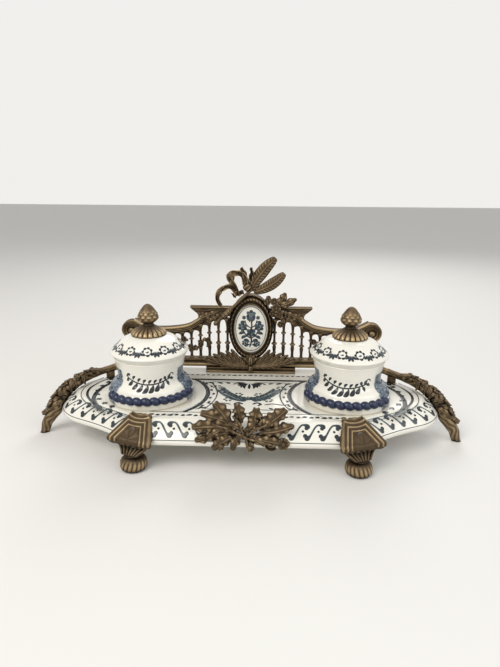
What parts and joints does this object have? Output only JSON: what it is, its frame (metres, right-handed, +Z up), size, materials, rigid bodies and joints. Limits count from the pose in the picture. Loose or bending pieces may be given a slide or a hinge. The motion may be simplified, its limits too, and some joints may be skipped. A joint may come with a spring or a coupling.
{
  "type": "desk inkstand",
  "caption": "Desk inkstand: a painted glazed tray with two lidded ink pots, a pierced bronze gallery with an oval plaque, branch arms and bracket feet.",
  "frame": {"origin": "on the table under the middle of the tray, which is the middle of the object's outline", "axes": "+Z up; +X to the viewer's right along the tray; the front with the spray faces -Y"},
  "size_m": [0.3624, 0.1596, 0.1467],
  "materials": {
    "painted_glaze": "gloss",
    "liner_glaze": "gloss",
    "bronze": "dark patina",
    "iron": "dull"
  },
  "bodies": {
    "base": {"tray": "painted_glaze", "pot_left": "painted_glaze", "pot_right": "painted_glaze", "pot_bolts": "iron", "gallery_plinth": "bronze", "gallery_base_rail": "bronze", "gallery_side_left": "bronze", "gallery_side_right": "bronze", "gallery_screws": "iron", "plaque_frame": "bronze", "plaque": "painted_glaze", "plaque_back": "bronze", "plaque_screws": "iron", "gallery_leaves": "bronze", "gallery_arrow": "bronze", "gallery_ribbon": "bronze", "gallery_flowers": "bronze", "garland_left": "bronze", "garland_right": "bronze", "arm_left": "bronze", "arm_right": "bronze", "arm_foliage_left": "bronze", "arm_foliage_right": "bronze", "arm_screws": "iron", "bracket_front_left": "bronze", "bracket_front_right": "bronze", "bracket_rear_left": "bronze", "bracket_rear_right": "bronze", "bun_front_left": "bronze", "bun_front_right": "bronze", "bun_rear_left": "bronze", "bun_rear_right": "bronze", "foot_studs": "iron", "bracket_screws": "iron", "front_spray": "bronze", "spray_screws": "iron"},
    "left_liner": {"liner_left": "liner_glaze"},
    "right_liner": {"liner_right": "liner_glaze"},
    "left_lid": {"lid_left": "painted_glaze", "calyx_left": "bronze", "finial_left": "bronze", "lid_nut_left": "iron"},
    "right_lid": {"lid_right": "painted_glaze", "calyx_right": "bronze", "finial_right": "bronze", "lid_nut_right": "iron"}
  },
  "joints": [
    {"name": "left_liner_lift", "type": "slide", "parent": "base", "child": "left_liner", "axis": [0, 0, 1], "range_m": [0, 0.105]},
    {"name": "right_liner_lift", "type": "slide", "parent": "base", "child": "right_liner", "axis": [0, 0, 1], "range_m": [0, 0.105]},
    {"name": "left_lid_lift", "type": "slide", "parent": "left_liner", "child": "left_lid", "axis": [0, 0, 1], "range_m": [0, 0.09]},
    {"name": "right_lid_lift", "type": "slide", "parent": "right_liner", "child": "right_lid", "axis": [0, 0, 1], "range_m": [0, 0.09]}
  ]
}
